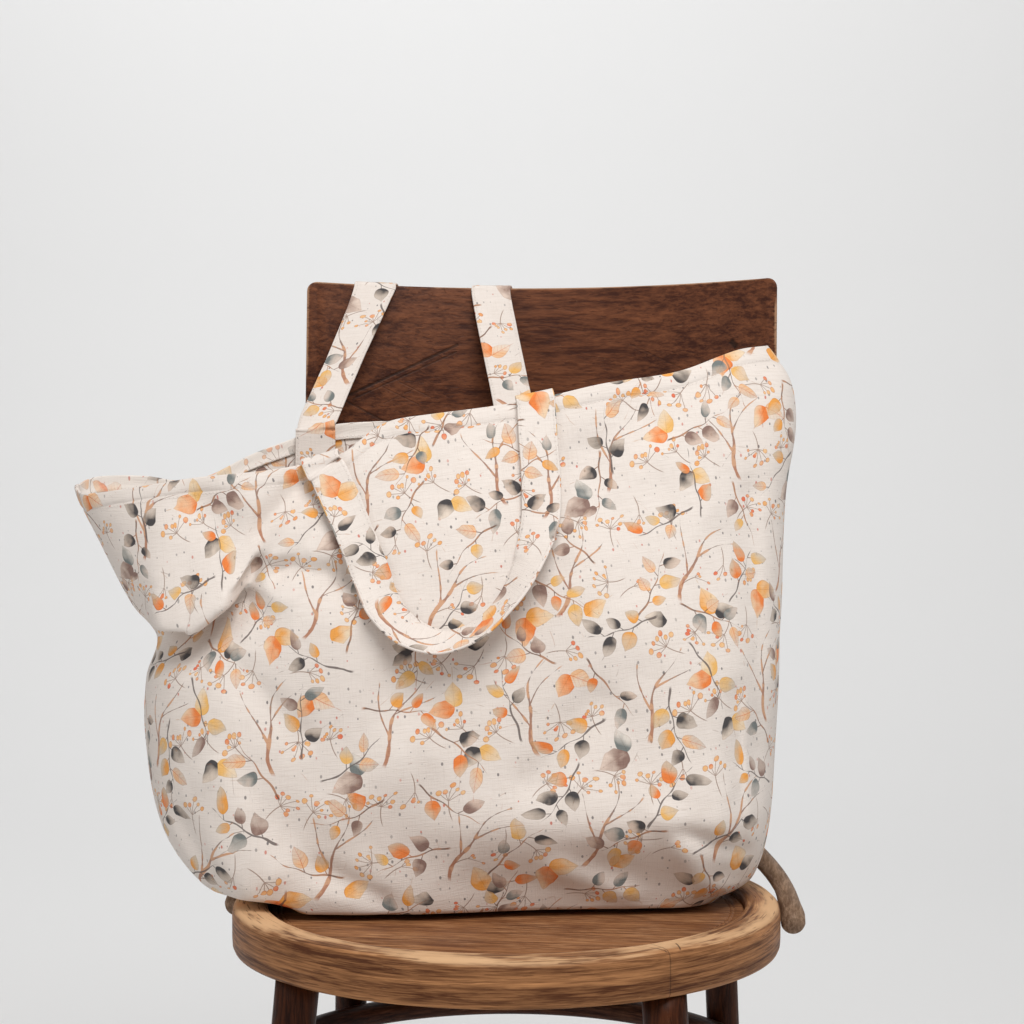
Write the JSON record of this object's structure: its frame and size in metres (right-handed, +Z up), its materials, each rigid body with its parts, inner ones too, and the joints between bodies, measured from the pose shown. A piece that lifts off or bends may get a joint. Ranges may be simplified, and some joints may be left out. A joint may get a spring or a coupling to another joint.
{
  "type": "linen tote bag on a bentwood chair",
  "caption": "Soft printed linen tote bag standing open on the seat of a round bentwood chair, one flat handle slung over the backrest.",
  "frame": {"origin": "on the floor, under the middle of the whole object's bounding box", "axes": "+Z up, -Y the way the chair's seat and the bag's front face, +X to the right of someone looking at the front"},
  "size_m": [0.5612, 0.443, 0.9282],
  "materials": {
    "linen": "plain weave, printed, matte",
    "seat_wood": "worn varnish, satin",
    "rest_wood": "dark stained, satin",
    "leg_wood": "dark stained, worn satin"
  },
  "bodies": {
    "root": {"bag_front": "linen", "bag_back": "linen", "handle_front": "linen", "handle_back": "linen", "seat_hoop": "seat_wood", "seat_panel": "seat_wood", "back_rest": "rest_wood", "front_leg_left": "leg_wood", "front_leg_right": "leg_wood", "back_leg_left": "leg_wood", "back_leg_right": "leg_wood", "ring_stretcher": "leg_wood", "brace_left": "leg_wood", "brace_right": "leg_wood"}
  },
  "joints": []
}
